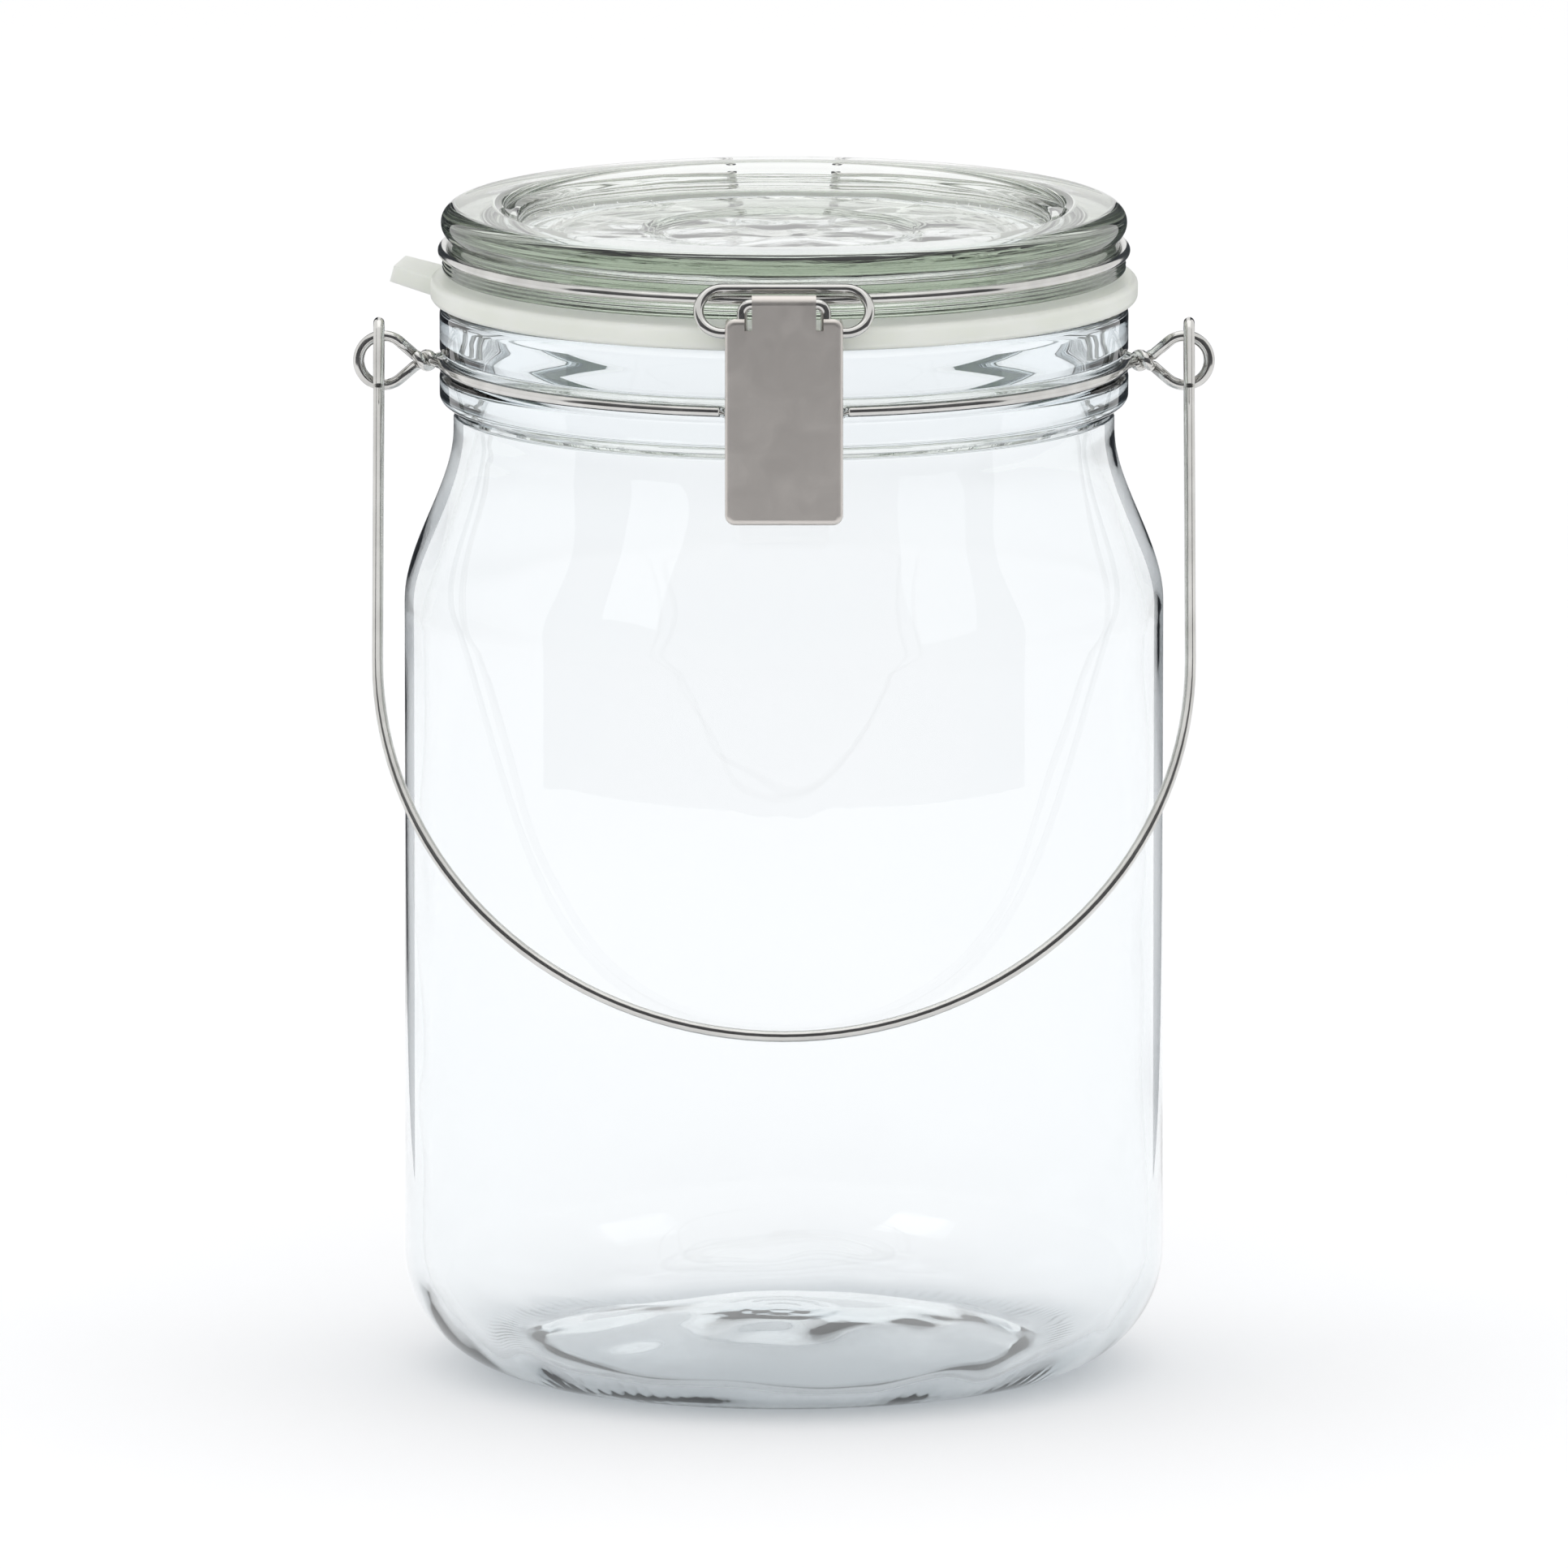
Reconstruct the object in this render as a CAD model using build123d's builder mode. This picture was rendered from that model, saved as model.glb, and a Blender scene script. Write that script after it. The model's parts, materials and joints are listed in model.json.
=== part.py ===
"""Lidded glass canister: a round jar with a wire bail handle, a hinged glass lid and a wire toggle latch.

Millimetres, +Z up. The origin is the centre of the ring that the jar stands on; the latch faces -Y.
Every part is its own solid in its own STEP file.
"""
from build123d import *
from math import asin, cos, radians, sin, sqrt
import os

os.makedirs("parts", exist_ok=True)

# ---------------------------------------------------------------- driving dimensions
# glass jar
body_radius = 82.5
wall = 4.0
base_thickness = 5.5       # at the middle of the floor
push_up = 7.5              # height of the dome pressed up into the base
heel_radius = 26.0
stand_width = 4.5          # flat ring that the jar stands on
shoulder_rise = 38.0       # from the end of the straight side up to the neck
neck_radius = 71.8
bead_radius = 74.8
rim_height = 234.0         # top of the mouth
neck_drop = 28.0           # from the mouth down to where the shoulder meets the neck
bead_drop = 22.5           # from the mouth down to the underside of the lower neck bead
bead_slope = 1.6           # height of that bead's sloping underside
band_drop = 13.3           # from the mouth down to the neck band's wire
mouth_radius = 66.0

# steel wires
band_wire = 1.2            # radius of the neck band's wire
handle_wire = 1.2
lid_wire = 1.15            # radius of the lid band's wire
latch_wire = 1.15          # radius of the pull link's and the ring's wire
groove_depth = 1.75        # how far the neck band's groove is sunk into its bead
groove_play = 0.1          # between the wire and each side of its groove
groove_slope = 0.8         # height of the groove's sloping sides
lip_round = 3.0            # outer edge of the mouth
bore_round = 2.0           # inner edge of the mouth
wire_seat = 0.05           # gap between a band and the floor of its groove
pivot_clearance = 0.06     # radial play of a wire in the curl or hole that it turns in

# handle and its eyes
eye_radius = 5.4           # centre line
leg_gap = 4.2              # between the handle's legs and the jar's side
twist_radius = 2.2
handle_offset = 1.0        # the hooks hang this far outside the centre of the eyes
hook_radius = 2.9          # centre line of the hairpin
hook_end = 13.0            # length of the hook's free leg
handle_tilt = 32.0         # degrees forward from hanging straight down
rest_gap = 0.3             # between the handle and the jar that it leans on

# lid and gasket
lid_thickness = 15.8       # from the gasket to the top of the canister
flange_radius = 74.2
lid_groove_depth = 1.4
flange_thickness = 4.2
rim_bead = 3.85            # radius of the lid's rounded rim
rim_radius = 74.5
plug_radius = 63.5
plug_depth = 8.0           # below the flange
recess_radius = 57.5
recess_floor = 28.0        # radius of the flat floor
recess_depth = 6.0
lid_floor = 8.0            # thickness of the glass at the centre
plug_wall = 5.5
plug_round = 1.5
crown_width = 3.0          # from the recess out to the rim's round
crown_drop = 0.4
lid_wire_lift = 0.5        # between the lid band and the flange that it stands above
gasket_radius = 76.8
gasket_thickness = 5.05
seal_gap = 0.15            # between the gasket and the mouth while nothing presses it
tab_length = 8.5
tab_width = 20.0           # at its root
tab_end = 15.2             # at its end
tab_round = 1.5
tab_thickness = 3.6
tab_turn = 171.0           # degrees round from +X
tab_tilt = 15.0            # degrees up from level
tab_root = 4.0             # how far the tab is rooted in the ring

# rear hinge
hinge_setback = 5.2        # from the neck band's centre line back to the cross bar
leg_spread = 12.0          # half the distance between the lid band's two rear legs
knuckle_spread = 5.0
knuckle_wrap = 270.0       # degrees
wire_bend = 3.0            # centre-line radius of ordinary bends
leg_bend = 2.4             # bends of the lid band's legs
knuckle_bend = 2.7         # the neck band's turn into its knuckles

# latch
lever_width = 25.4
lever_length = 45.0
sheet = 0.8
ear_depth = 5.3            # the side flanges are deep at the ring's pivot
flange_depth = 2.6         # and shallow below it, clear of the neck band
ear_drop = 4.0             # how far the deep part reaches below the pivot
corner_round = 2.2
tab_spare = 0.1            # between the tab and the link's bends
notch_width = 1.6
notch_depth = 2.6
panel_drop = 2.9           # from the link's top bar down to the panel's top edge
pivot_setback = 0.9        # the ring's pivot lies this far behind the link's top bar
pivot_drop = 6.4           # and this far below it
link_rise = 0.15           # the link's top bar stands this far above the lid band
link_bend = 2.0
link_play = 1.75           # between the link's legs and the lever's flanges
run_forward = 4.2          # the neck band's front run stands this far out of its circle
run_bend = 1.8
run_spare = 2.4            # from the link's legs out to the corner of that run
run_return = 4.9           # from that corner on to where the wire enters its groove
run_straight = 3.2         # straight stretch of wire before the groove
ring_beside = 5.7          # how far the ring's centre line stands out past the lever
ring_lift = 2.55           # the ring's top bar above the lid band
ring_forward = 0.2         # and in front of it
stub_inside = 0.8          # how far the ring's ends pass the flanges' inner faces

# ---------------------------------------------------------------- worked-out places
neck_height = rim_height - neck_drop
shoulder_low = neck_height - shoulder_rise
bead_low = rim_height - bead_drop
band_height = rim_height - band_drop
groove_radius = bead_radius - groove_depth
band_radius = groove_radius + band_wire + wire_seat
lid_bottom = rim_height + seal_gap + gasket_thickness
lid_height = lid_bottom + lid_thickness
flange_top = lid_bottom + flange_thickness
lid_groove_radius = flange_radius - lid_groove_depth
lid_band_radius = lid_groove_radius + lid_wire + wire_seat
lid_band_height = flange_top + lid_wire + lid_wire_lift
plug_bottom = lid_bottom - plug_depth

handle_x = body_radius + handle_wire + leg_gap
eye_centre = handle_x - handle_offset
eye_top = band_height + eye_radius
hinge_y = band_radius + hinge_setback
knuckle_radius = lid_wire + pivot_clearance + band_wire
hinge_z = band_height + knuckle_radius

groove_half = band_wire + groove_play
half_width = lever_width / 2
link_half = half_width - sheet - link_play - latch_wire
run_half = link_half + run_spare
tab_half = link_half - link_bend - tab_spare
ring_half = half_width + ring_beside
run_y = -(band_radius + run_forward)
curl_radius = latch_wire + pivot_clearance + band_wire
link_y = run_y - curl_radius
link_z = lid_band_height + link_rise
panel_y = link_y - latch_wire - pivot_clearance - sheet
pivot_y = link_y + pivot_setback
pivot_z = link_z - pivot_drop
hook_y = -(lid_band_radius + ring_forward)
hook_z = lid_band_height + ring_lift


def wire_section(path, radius):
    """The round section of a wire, square to the start of its path."""
    with BuildSketch(Plane(origin=path @ 0, z_dir=path % 0)) as section:
        Circle(radius)
    return section.sketch


# ---------------------------------------------------------------- jar body
with BuildPart() as jar_body:
    with BuildSketch(Plane.XZ):
        with BuildLine():
            # underside: a shallow dome, the flat standing ring and the rounded heel
            stand = body_radius - heel_radius
            dome = TangentArc((0, push_up), (stand - stand_width, 0), tangent=(1, 0))
            Line(dome @ 1, (stand, 0))
            heel = CenterArc((stand, heel_radius), heel_radius, -90, 90)
            side = Line(heel @ 1, (body_radius, shoulder_low))
            mid = ((body_radius + neck_radius) / 2, (shoulder_low + neck_height) / 2)
            swell = TangentArc(side @ 1, mid, tangent=(0, 1))
            sweep_in = TangentArc(swell @ 1, (neck_radius, neck_height), tangent=swell % 1)
            neck = Line(sweep_in @ 1, (neck_radius, bead_low))
            # lower bead, wire groove and upper bead
            bead_foot = Line(neck @ 1, (bead_radius, bead_low + bead_slope))
            low_bead = Line(bead_foot @ 1, (bead_radius, band_height - groove_half - groove_slope))
            in_low = Line(low_bead @ 1, (groove_radius, band_height - groove_half))
            groove = Line(in_low @ 1, (groove_radius, band_height + groove_half))
            out_high = Line(groove @ 1, (bead_radius, band_height + groove_half + groove_slope))
            high_bead = Line(out_high @ 1, (bead_radius, rim_height - lip_round))
            lip = CenterArc((bead_radius - lip_round, rim_height - lip_round), lip_round, 0, 90)
            top = Line(lip @ 1, (mouth_radius + bore_round, rim_height))
            inner_lip = CenterArc((mouth_radius + bore_round, rim_height - bore_round), bore_round, 90, 90)
            # inside: bore, shoulder, side and floor
            bore = Line(inner_lip @ 1, (mouth_radius, neck_height))
            inside = body_radius - wall
            in_mid = ((inside + mouth_radius) / 2, mid[1] - wall / 2)
            in_swell = TangentArc(bore @ 1, in_mid, tangent=(0, -1))
            in_shoulder = TangentArc(in_swell @ 1, (inside, shoulder_low - wall), tangent=in_swell % 1)
            in_heel = heel_radius - wall
            in_side = Line(in_shoulder @ 1, (inside, heel_radius))
            in_corner = CenterArc((inside - in_heel, heel_radius), in_heel, 0, -90)
            floor = TangentArc((0, push_up + base_thickness), in_corner @ 1, tangent=(1, 0))
            Line(floor @ 0, dome @ 0)
        make_face()
    revolve(axis=Axis.Z)
jar_body.part.label = "jar_body"

# ---------------------------------------------------------------- neck band
# Half of the wire: the front run, the groove, and the knuckle that the lid's cross bar turns in.
join_angle = asin((run_half + run_return) / band_radius)
join = Vector(band_radius * sin(join_angle), -band_radius * cos(join_angle), band_height)
to_front = Vector(-cos(join_angle), -sin(join_angle), 0)
back_angle = asin((knuckle_spread + wire_bend) / band_radius)
back = Vector(band_radius * sin(back_angle), band_radius * cos(back_angle), band_height)
to_back = Vector(-cos(back_angle), sin(back_angle), 0)
turn = back + to_back * (wire_bend / cos(back_angle))
knuckle_foot = Vector(knuckle_spread, hinge_y, band_height)
knuckle_plane = Plane(origin=(knuckle_spread, hinge_y, hinge_z), x_dir=(0, 1, 0), z_dir=(1, 0, 0))

with BuildPart() as neck_band:
    with BuildLine() as band_path:
        FilletPolyline((0, run_y, band_height), (run_half, run_y, band_height),
                       join + to_front * run_straight, join, radius=run_bend)
        ThreePointArc(join, (band_radius, 0, band_height), back)
        FilletPolyline(back, turn, knuckle_foot, radius=knuckle_bend)
        add(Edge.make_circle(knuckle_radius, knuckle_plane, -90, knuckle_wrap - 90))
    sweep(sections=wire_section(band_path.wire(), band_wire), path=band_path.wire())
    # the twisted neck of the side eye, and the eye
    twist_start = bead_radius + 0.15
    twist_end = eye_centre - eye_radius + 0.4
    with BuildSketch(Plane.YZ.offset(twist_start)):
        with Locations((0, band_height)):
            Circle(twist_radius)
    extrude(amount=twist_end - twist_start)
    with Locations(Location((eye_centre, 0, band_height), (90, 0, 0))):
        Torus(eye_radius, band_wire)
    mirror(about=Plane.YZ)
neck_band.part.label = "neck_band"

# ---------------------------------------------------------------- carry handle
tilt = radians(handle_tilt)
down_leg = Vector(0, -sin(tilt), -cos(tilt))
behind = Vector(0, cos(tilt), -sin(tilt))
hook_centre = Vector(handle_x, 0, eye_top)
leg_top = hook_centre + behind * hook_radius
lean = body_radius + handle_wire + rest_gap
leg_reach = (lean + leg_top.Y) / sin(tilt)       # along the leg to the bottom of the bail
bow_centre = Vector(0, leg_top.Y, leg_top.Z) + down_leg * (leg_reach - handle_x)
bow_start = bow_centre + Vector(handle_x, 0, 0)
bow_middle = bow_centre + (Vector(1, 0, 0) + down_leg) * (handle_x / sqrt(2))
free_top = hook_centre - behind * hook_radius

with BuildPart() as carry_handle:
    with BuildLine() as bail:
        Line(free_top + down_leg * hook_end, free_top)
        ThreePointArc(free_top, hook_centre - down_leg * hook_radius, leg_top)
        Line(leg_top, bow_start)
        ThreePointArc(bow_start, bow_middle, bow_centre + down_leg * handle_x)
    sweep(sections=wire_section(bail.wire(), handle_wire), path=bail.wire())
    mirror(about=Plane.YZ)
carry_handle.part.label = "carry_handle"

# ---------------------------------------------------------------- lid
rim_centre = rim_radius - rim_bead
rim_middle = lid_height - rim_bead
rim_turn = sqrt(rim_bead ** 2 - (lid_groove_radius - rim_centre) ** 2)
floor_top = lid_height - recess_depth
ceiling = floor_top - lid_floor

with BuildPart() as lid:
    with BuildSketch(Plane.XZ):
        with BuildLine():
            underside = Line((0, ceiling), (plug_radius - plug_wall - 5, ceiling))
            slope = Line(underside @ 1, (plug_radius - plug_wall, plug_bottom + plug_round))
            foot = ThreePointArc(slope @ 1, (plug_radius - plug_wall / 2, plug_bottom),
                                 (plug_radius, plug_bottom + plug_round))
            plug_side = Line(foot @ 1, (plug_radius, lid_bottom))
            seat = Line(plug_side @ 1, (flange_radius, lid_bottom))
            flange_side = Line(seat @ 1, (flange_radius, flange_top))
            ledge = Line(flange_side @ 1, (lid_groove_radius, flange_top))
            lid_groove = Line(ledge @ 1, (lid_groove_radius, rim_middle - rim_turn))
            rim = ThreePointArc(lid_groove @ 1, (rim_radius, rim_middle), (rim_centre, lid_height))
            crown = Line(rim @ 1, (recess_radius + crown_width, lid_height - crown_drop))
            bank = Line(crown @ 1, (recess_radius, lid_height - recess_depth * 0.55))
            # two shallow steps lead down to the floor
            step_1 = Line(bank @ 1, (recess_radius * 0.87, bank.position_at(1).Y - 0.5))
            riser_1 = Line(step_1 @ 1, (recess_radius * 0.85, step_1.position_at(1).Y - 0.7))
            step_2 = Line(riser_1 @ 1, (recess_floor + 1.2, riser_1.position_at(1).Y - 0.4))
            riser_2 = Line(step_2 @ 1, (recess_floor, floor_top))
            dish = Line(riser_2 @ 1, (0, floor_top))
            Line(dish @ 1, underside @ 0)
        make_face()
    revolve(axis=Axis.Z)
lid.part.label = "lid"

# ---------------------------------------------------------------- lid band
leg_angle = asin((leg_spread + wire_bend) / lid_band_radius)
ring_end = Vector(lid_band_radius * sin(leg_angle), lid_band_radius * cos(leg_angle), lid_band_height)
out_turn = ring_end + Vector(-cos(leg_angle), sin(leg_angle), 0) * (wire_bend / cos(leg_angle))

with BuildPart() as lid_band:
    with BuildLine() as lid_band_path:
        ThreePointArc((0, -lid_band_radius, lid_band_height), (lid_band_radius, 0, lid_band_height),
                      ring_end)
        FilletPolyline(ring_end, out_turn, (leg_spread, hinge_y, lid_band_height),
                       (leg_spread, hinge_y, hinge_z), (0, hinge_y, hinge_z), radius=leg_bend)
    sweep(sections=wire_section(lid_band_path.wire(), lid_wire), path=lid_band_path.wire())
    mirror(about=Plane.YZ)
lid_band.part.label = "lid_band"

# ---------------------------------------------------------------- gasket
gasket_bottom = lid_bottom - gasket_thickness
tab_out = Vector(cos(radians(tab_turn)), sin(radians(tab_turn)), 0)
tab_side = Vector(-tab_out.Y, tab_out.X, 0)
tab_along = tab_out * cos(radians(tab_tilt)) + Vector(0, 0, sin(radians(tab_tilt)))
tab_foot = tab_out * gasket_radius + Vector(0, 0, gasket_bottom + gasket_thickness / 2)

with BuildPart() as gasket:
    with BuildSketch(Plane.XZ):
        with BuildLine():
            Polyline((plug_radius, gasket_bottom), (gasket_radius, gasket_bottom),
                     (gasket_radius, lid_bottom), (plug_radius, lid_bottom), close=True)
        make_face()
        fillet(vertices().group_by(Axis.X)[-1], radius=gasket_thickness * 0.3)
    revolve(axis=Axis.Z)
    # the pull tab narrows a little and tilts up
    with BuildSketch(Plane(origin=tab_foot, x_dir=tab_along, z_dir=tab_along.cross(tab_side))) as tab:
        with BuildLine():
            Polyline((-tab_root, -tab_width / 2), (tab_length, -tab_end / 2),
                     (tab_length, tab_end / 2), (-tab_root, tab_width / 2), close=True)
        make_face()
        fillet(tab.vertices().sort_by(lambda v: tab_out.dot(Vector(*v)))[-2:], radius=tab_round)
    extrude(amount=tab_thickness / 2, both=True)
gasket.part.label = "gasket"

# ---------------------------------------------------------------- pull link
link_eye = Plane(origin=(link_half, run_y, band_height), x_dir=(0, -1, 0), z_dir=(1, 0, 0))

with BuildPart() as pull_link:
    with BuildLine() as link_path:
        FilletPolyline((0, link_y, link_z), (link_half, link_y, link_z),
                       (link_half, link_y, band_height), radius=link_bend)
        add(Edge.make_circle(curl_radius, link_eye, 0, knuckle_wrap))
    sweep(sections=wire_section(link_path.wire(), latch_wire), path=link_path.wire())
    mirror(about=Plane.YZ)
pull_link.part.label = "pull_link"

# ---------------------------------------------------------------- latch lever
panel_top = link_z - panel_drop
panel_bottom = panel_top - lever_length
curl_inside = latch_wire + pivot_clearance

with BuildPart() as latch_lever:
    # a pressed tray, open at the back and at the top
    with BuildSketch(Plane.XZ.offset(-panel_y)):
        with Locations((0, (panel_top + panel_bottom) / 2)):
            Rectangle(lever_width, lever_length)
        fillet(vertices().group_by(Axis.Z)[0], radius=corner_round)
    extrude(amount=-ear_depth)
    fillet(faces().sort_by(Axis.Y)[0].edges().sort_by(Axis.Z)[:-1], radius=sheet * 1.6)
    with BuildSketch(Plane.XZ.offset(-panel_y - sheet)):
        with Locations((0, (panel_top + panel_bottom) / 2 + sheet)):
            Rectangle(lever_width - 2 * sheet, lever_length)
        fillet(vertices().group_by(Axis.Z)[0], radius=corner_round - sheet)
    extrude(amount=-ear_depth, mode=Mode.SUBTRACT)
    with BuildSketch(Plane.YZ.offset(-half_width)):
        with Locations((panel_y + flange_depth, pivot_z - ear_drop)):
            Rectangle(ear_depth, lever_length, align=(Align.MIN, Align.MAX))
    extrude(amount=lever_width, mode=Mode.SUBTRACT)
    # the centre tab, curled round the link's top bar
    with BuildSketch(Plane.YZ.offset(-tab_half)):
        with Locations((link_y, link_z)):
            Circle(curl_inside + sheet)
            Circle(curl_inside, mode=Mode.SUBTRACT)
            with Locations((-curl_inside / 2 - tab_spare, -2)):
                Rectangle(curl_inside - 2 * tab_spare, 4, mode=Mode.SUBTRACT)
        with Locations((panel_y + sheet / 2, link_z - panel_drop)):
            Rectangle(sheet, 2 * panel_drop)
    extrude(amount=2 * tab_half)
    with BuildSketch(Plane.XZ.offset(-panel_y)):
        with Locations((tab_half + notch_width / 2, panel_top), (-tab_half - notch_width / 2, panel_top)):
            Rectangle(notch_width, 2 * notch_depth)
    extrude(amount=-sheet * 1.5, mode=Mode.SUBTRACT)
    # holes for the ring's ends
    with BuildSketch(Plane.YZ.offset(-half_width)):
        with Locations((pivot_y, pivot_z)):
            Circle(latch_wire + pivot_clearance)
    extrude(amount=lever_width, mode=Mode.SUBTRACT)
latch_lever.part.label = "latch_lever"

# ---------------------------------------------------------------- latch ring
ring_top = Vector(0, hook_y, hook_z)
ring_pivot = Vector(0, pivot_y, pivot_z)
ring_round = (ring_top - ring_pivot).length / 2
sideways = Vector(ring_half - ring_round, 0, 0)
stub_end = half_width - sheet - stub_inside

with BuildPart() as latch_ring:
    with BuildLine() as ring_path:
        Line(ring_top, ring_top + sideways)
        ThreePointArc(ring_top + sideways, (ring_top + ring_pivot) / 2 + Vector(ring_half, 0, 0),
                      ring_pivot + sideways)
        Line(ring_pivot + sideways, ring_pivot + Vector(stub_end, 0, 0))
    sweep(sections=wire_section(ring_path.wire(), latch_wire), path=ring_path.wire())
    mirror(about=Plane.YZ)
latch_ring.part.label = "latch_ring"

# ---------------------------------------------------------------- write the parts
for piece in (jar_body, neck_band, carry_handle, lid, lid_band, gasket, pull_link, latch_lever, latch_ring):
    export_step(piece.part, f"parts/{piece.part.label}.step")

print("hinge", hinge_y, hinge_z, "eye", handle_x, eye_top)
print("link pivot", run_y, band_height, "lever pivot", link_y, link_z, "ring pivot", pivot_y, pivot_z)
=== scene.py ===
"""Lidded glass canister: the visual model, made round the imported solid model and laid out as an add-on."""
import json
from math import acos, asin, cos, degrees, log, pi, radians, sin, tan

import bmesh
import bpy
from bpy.props import FloatProperty, IntProperty, PointerProperty, StringProperty
from bpy.types import Operator, Panel, PropertyGroup
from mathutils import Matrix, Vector, noise


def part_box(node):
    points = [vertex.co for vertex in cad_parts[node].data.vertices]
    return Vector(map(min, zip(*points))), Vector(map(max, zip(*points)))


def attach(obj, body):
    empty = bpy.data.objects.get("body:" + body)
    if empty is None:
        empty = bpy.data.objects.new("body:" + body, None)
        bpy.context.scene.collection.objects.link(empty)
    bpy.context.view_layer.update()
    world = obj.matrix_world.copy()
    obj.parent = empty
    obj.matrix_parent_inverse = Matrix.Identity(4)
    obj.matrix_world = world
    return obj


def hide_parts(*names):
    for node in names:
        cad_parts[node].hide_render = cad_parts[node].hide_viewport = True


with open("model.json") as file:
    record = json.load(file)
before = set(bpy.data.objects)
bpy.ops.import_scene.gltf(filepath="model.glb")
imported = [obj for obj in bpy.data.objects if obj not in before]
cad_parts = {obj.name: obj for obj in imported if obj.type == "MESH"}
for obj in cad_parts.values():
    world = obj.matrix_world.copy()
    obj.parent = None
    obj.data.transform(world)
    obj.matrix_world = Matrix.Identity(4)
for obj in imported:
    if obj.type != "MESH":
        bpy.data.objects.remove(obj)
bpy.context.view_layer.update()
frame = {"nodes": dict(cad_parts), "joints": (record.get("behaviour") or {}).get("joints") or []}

bl_info = {
    "name": "Lidded glass canister",
    "version": (1, 0, 0),
    "blender": (4, 5, 0),
    "location": "View3D > Sidebar > Canister",
    "description": "Builds a clip-top glass canister with a bail handle round its packed solid model",
    "category": "Add Mesh",
}

MM = 0.001


# ---------------------------------------------------------------- places read from the solid model
def low(node):
    return [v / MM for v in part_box(node)[0]]


def high(node):
    return [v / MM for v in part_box(node)[1]]


BODY_R = high("jar_body")[0]
RIM_Z = high("jar_body")[2]
TOP_Z = high("lid")[2]
LID_R = high("lid")[0]
PLUG_Z = low("lid")[2]
SEAT_Z = high("gasket")[2]
BAND_Z = (low("neck_band")[2] + high("neck_band")[2]) / 2
EYE_END = high("neck_band")[0]
EYE_HALF = (high("neck_band")[2] - low("neck_band")[2]) / 2
JOINTS = {joint["name"]: joint for joint in frame["joints"]}


# ---------------------------------------------------------------- settings
def length(name, default, text):
    """A size in millimetres."""
    return FloatProperty(name=name, default=default, min=0.0, description=text + ", in millimetres")


def colour(name, default, text):
    return StringProperty(name=name, default=default, description=text + ", as an sRGB hex value")


class JarSettings(PropertyGroup):
    wall: length("Wall", 4.0, "Thickness of the glass at the side")
    base: length("Base", 5.5, "Thickness of the glass at the middle of the base")
    push_up: length("Push-up", 7.5, "Height of the dome pressed up into the base")
    heel: length("Heel radius", 26.0, "Radius of the rounded bottom edge")
    stand_width: length("Standing ring", 4.5, "Width of the ring that the jar stands on")
    neck_radius: length("Neck radius", 71.8, "Outside radius of the neck under its beads")
    neck_drop: length("Neck drop", 28.0, "From the mouth down to the top of the shoulder")
    shoulder_rise: length("Shoulder rise", 38.0, "From the straight side up to the neck")
    bead_radius: length("Bead radius", 74.8, "Outside radius of the neck's two beads")
    bead_drop: length("Bead drop", 22.5, "From the mouth down to the underside of the lower bead")
    groove: length("Groove", 1.75, "Depth of the neck band's groove")
    mouth: length("Mouth radius", 66.0, "Radius of the open mouth")
    ticks: IntProperty(name="Ticks", default=120, description="Fine ticks pressed round the heel")
    tick_depth: length("Tick depth", 0.14, "Depth of those ticks")
    uneven: length("Unevenness", 0.45, "How far the inside of the body wanders")
    tint: colour("Glass tint", "#CCDDE5", "What is left of white light after the tint depth")
    tint_depth: length("Tint depth", 60.0, "Thickness of glass that shows the tint")


class LidSettings(PropertyGroup):
    flange: length("Flange radius", 74.2, "Radius of the flange that presses on the gasket")
    flange_height: length("Flange height", 4.2, "Height of that flange")
    groove: length("Groove", 1.4, "Depth of the wire's groove")
    bead: length("Rim bead", 3.85, "Radius of the rounded rim")
    plug: length("Plug radius", 63.5, "Radius of the plug that drops into the mouth")
    plug_wall: length("Plug wall", 5.5, "Thickness of the plug's wall")
    recess: length("Recess radius", 57.5, "Radius of the recessed top")
    recess_depth: length("Recess depth", 6.0, "Depth of the recessed top")
    floor_radius: length("Floor radius", 28.0, "Radius of the flat middle of the recess")
    floor: length("Floor", 8.0, "Thickness of the glass at the middle")
    tint: colour("Glass tint", "#E3E8E1", "What is left of white light after the tint depth")
    tint_depth: length("Tint depth", 40.0, "Thickness of glass that shows the tint")


class WireSettings(PropertyGroup):
    band: length("Neck band wire", 1.2, "Radius of the neck band's wire")
    twist: length("Twist", 4.2, "Length of the twist between the band and each eye")
    seat: length("Wire seat", 0.05, "Between the neck band and the floor of its groove")
    knuckle: length("Knuckle", 5.0, "From the middle to each rear knuckle")
    bend: length("Bend", 3.0, "Centre-line radius of ordinary bends")
    run: length("Front run", 11.4, "Half the length of the straight run that the latch pulls on")
    run_return: length("Run return", 4.9, "From the run's corner on to where the wire enters its groove")
    run_straight: length("Run straight", 3.2, "Straight stretch of wire before the groove")
    run_bend: length("Run bend", 1.8, "Centre-line radius of the run's corners")
    shade: colour("Wire colour", "#C4C3C0", "Colour of the bright drawn wire")


class LatchSettings(PropertyGroup):
    shade: colour("Lever colour", "#D6D1CC", "Colour of the pressed sheet")
    gasket: colour("Gasket colour", "#F0F2EC", "Colour of the milky silicone")


class StageSettings(PropertyGroup):
    elevation: FloatProperty(name="Elevation", default=radians(9.35), subtype="ANGLE",
                             description="How far the camera looks down")
    distance: FloatProperty(name="Distance", default=8.0, unit="LENGTH", description="Camera to canister")
    focal: FloatProperty(name="Focal length", default=844.6, description="Of the camera, in millimetres")
    aim: length("Aim height", 127.5, "Height on the jar's axis that is at the middle of the view")
    backdrop: FloatProperty(name="Backdrop", default=1.0, description="Brightness of the white backdrop")


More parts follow.
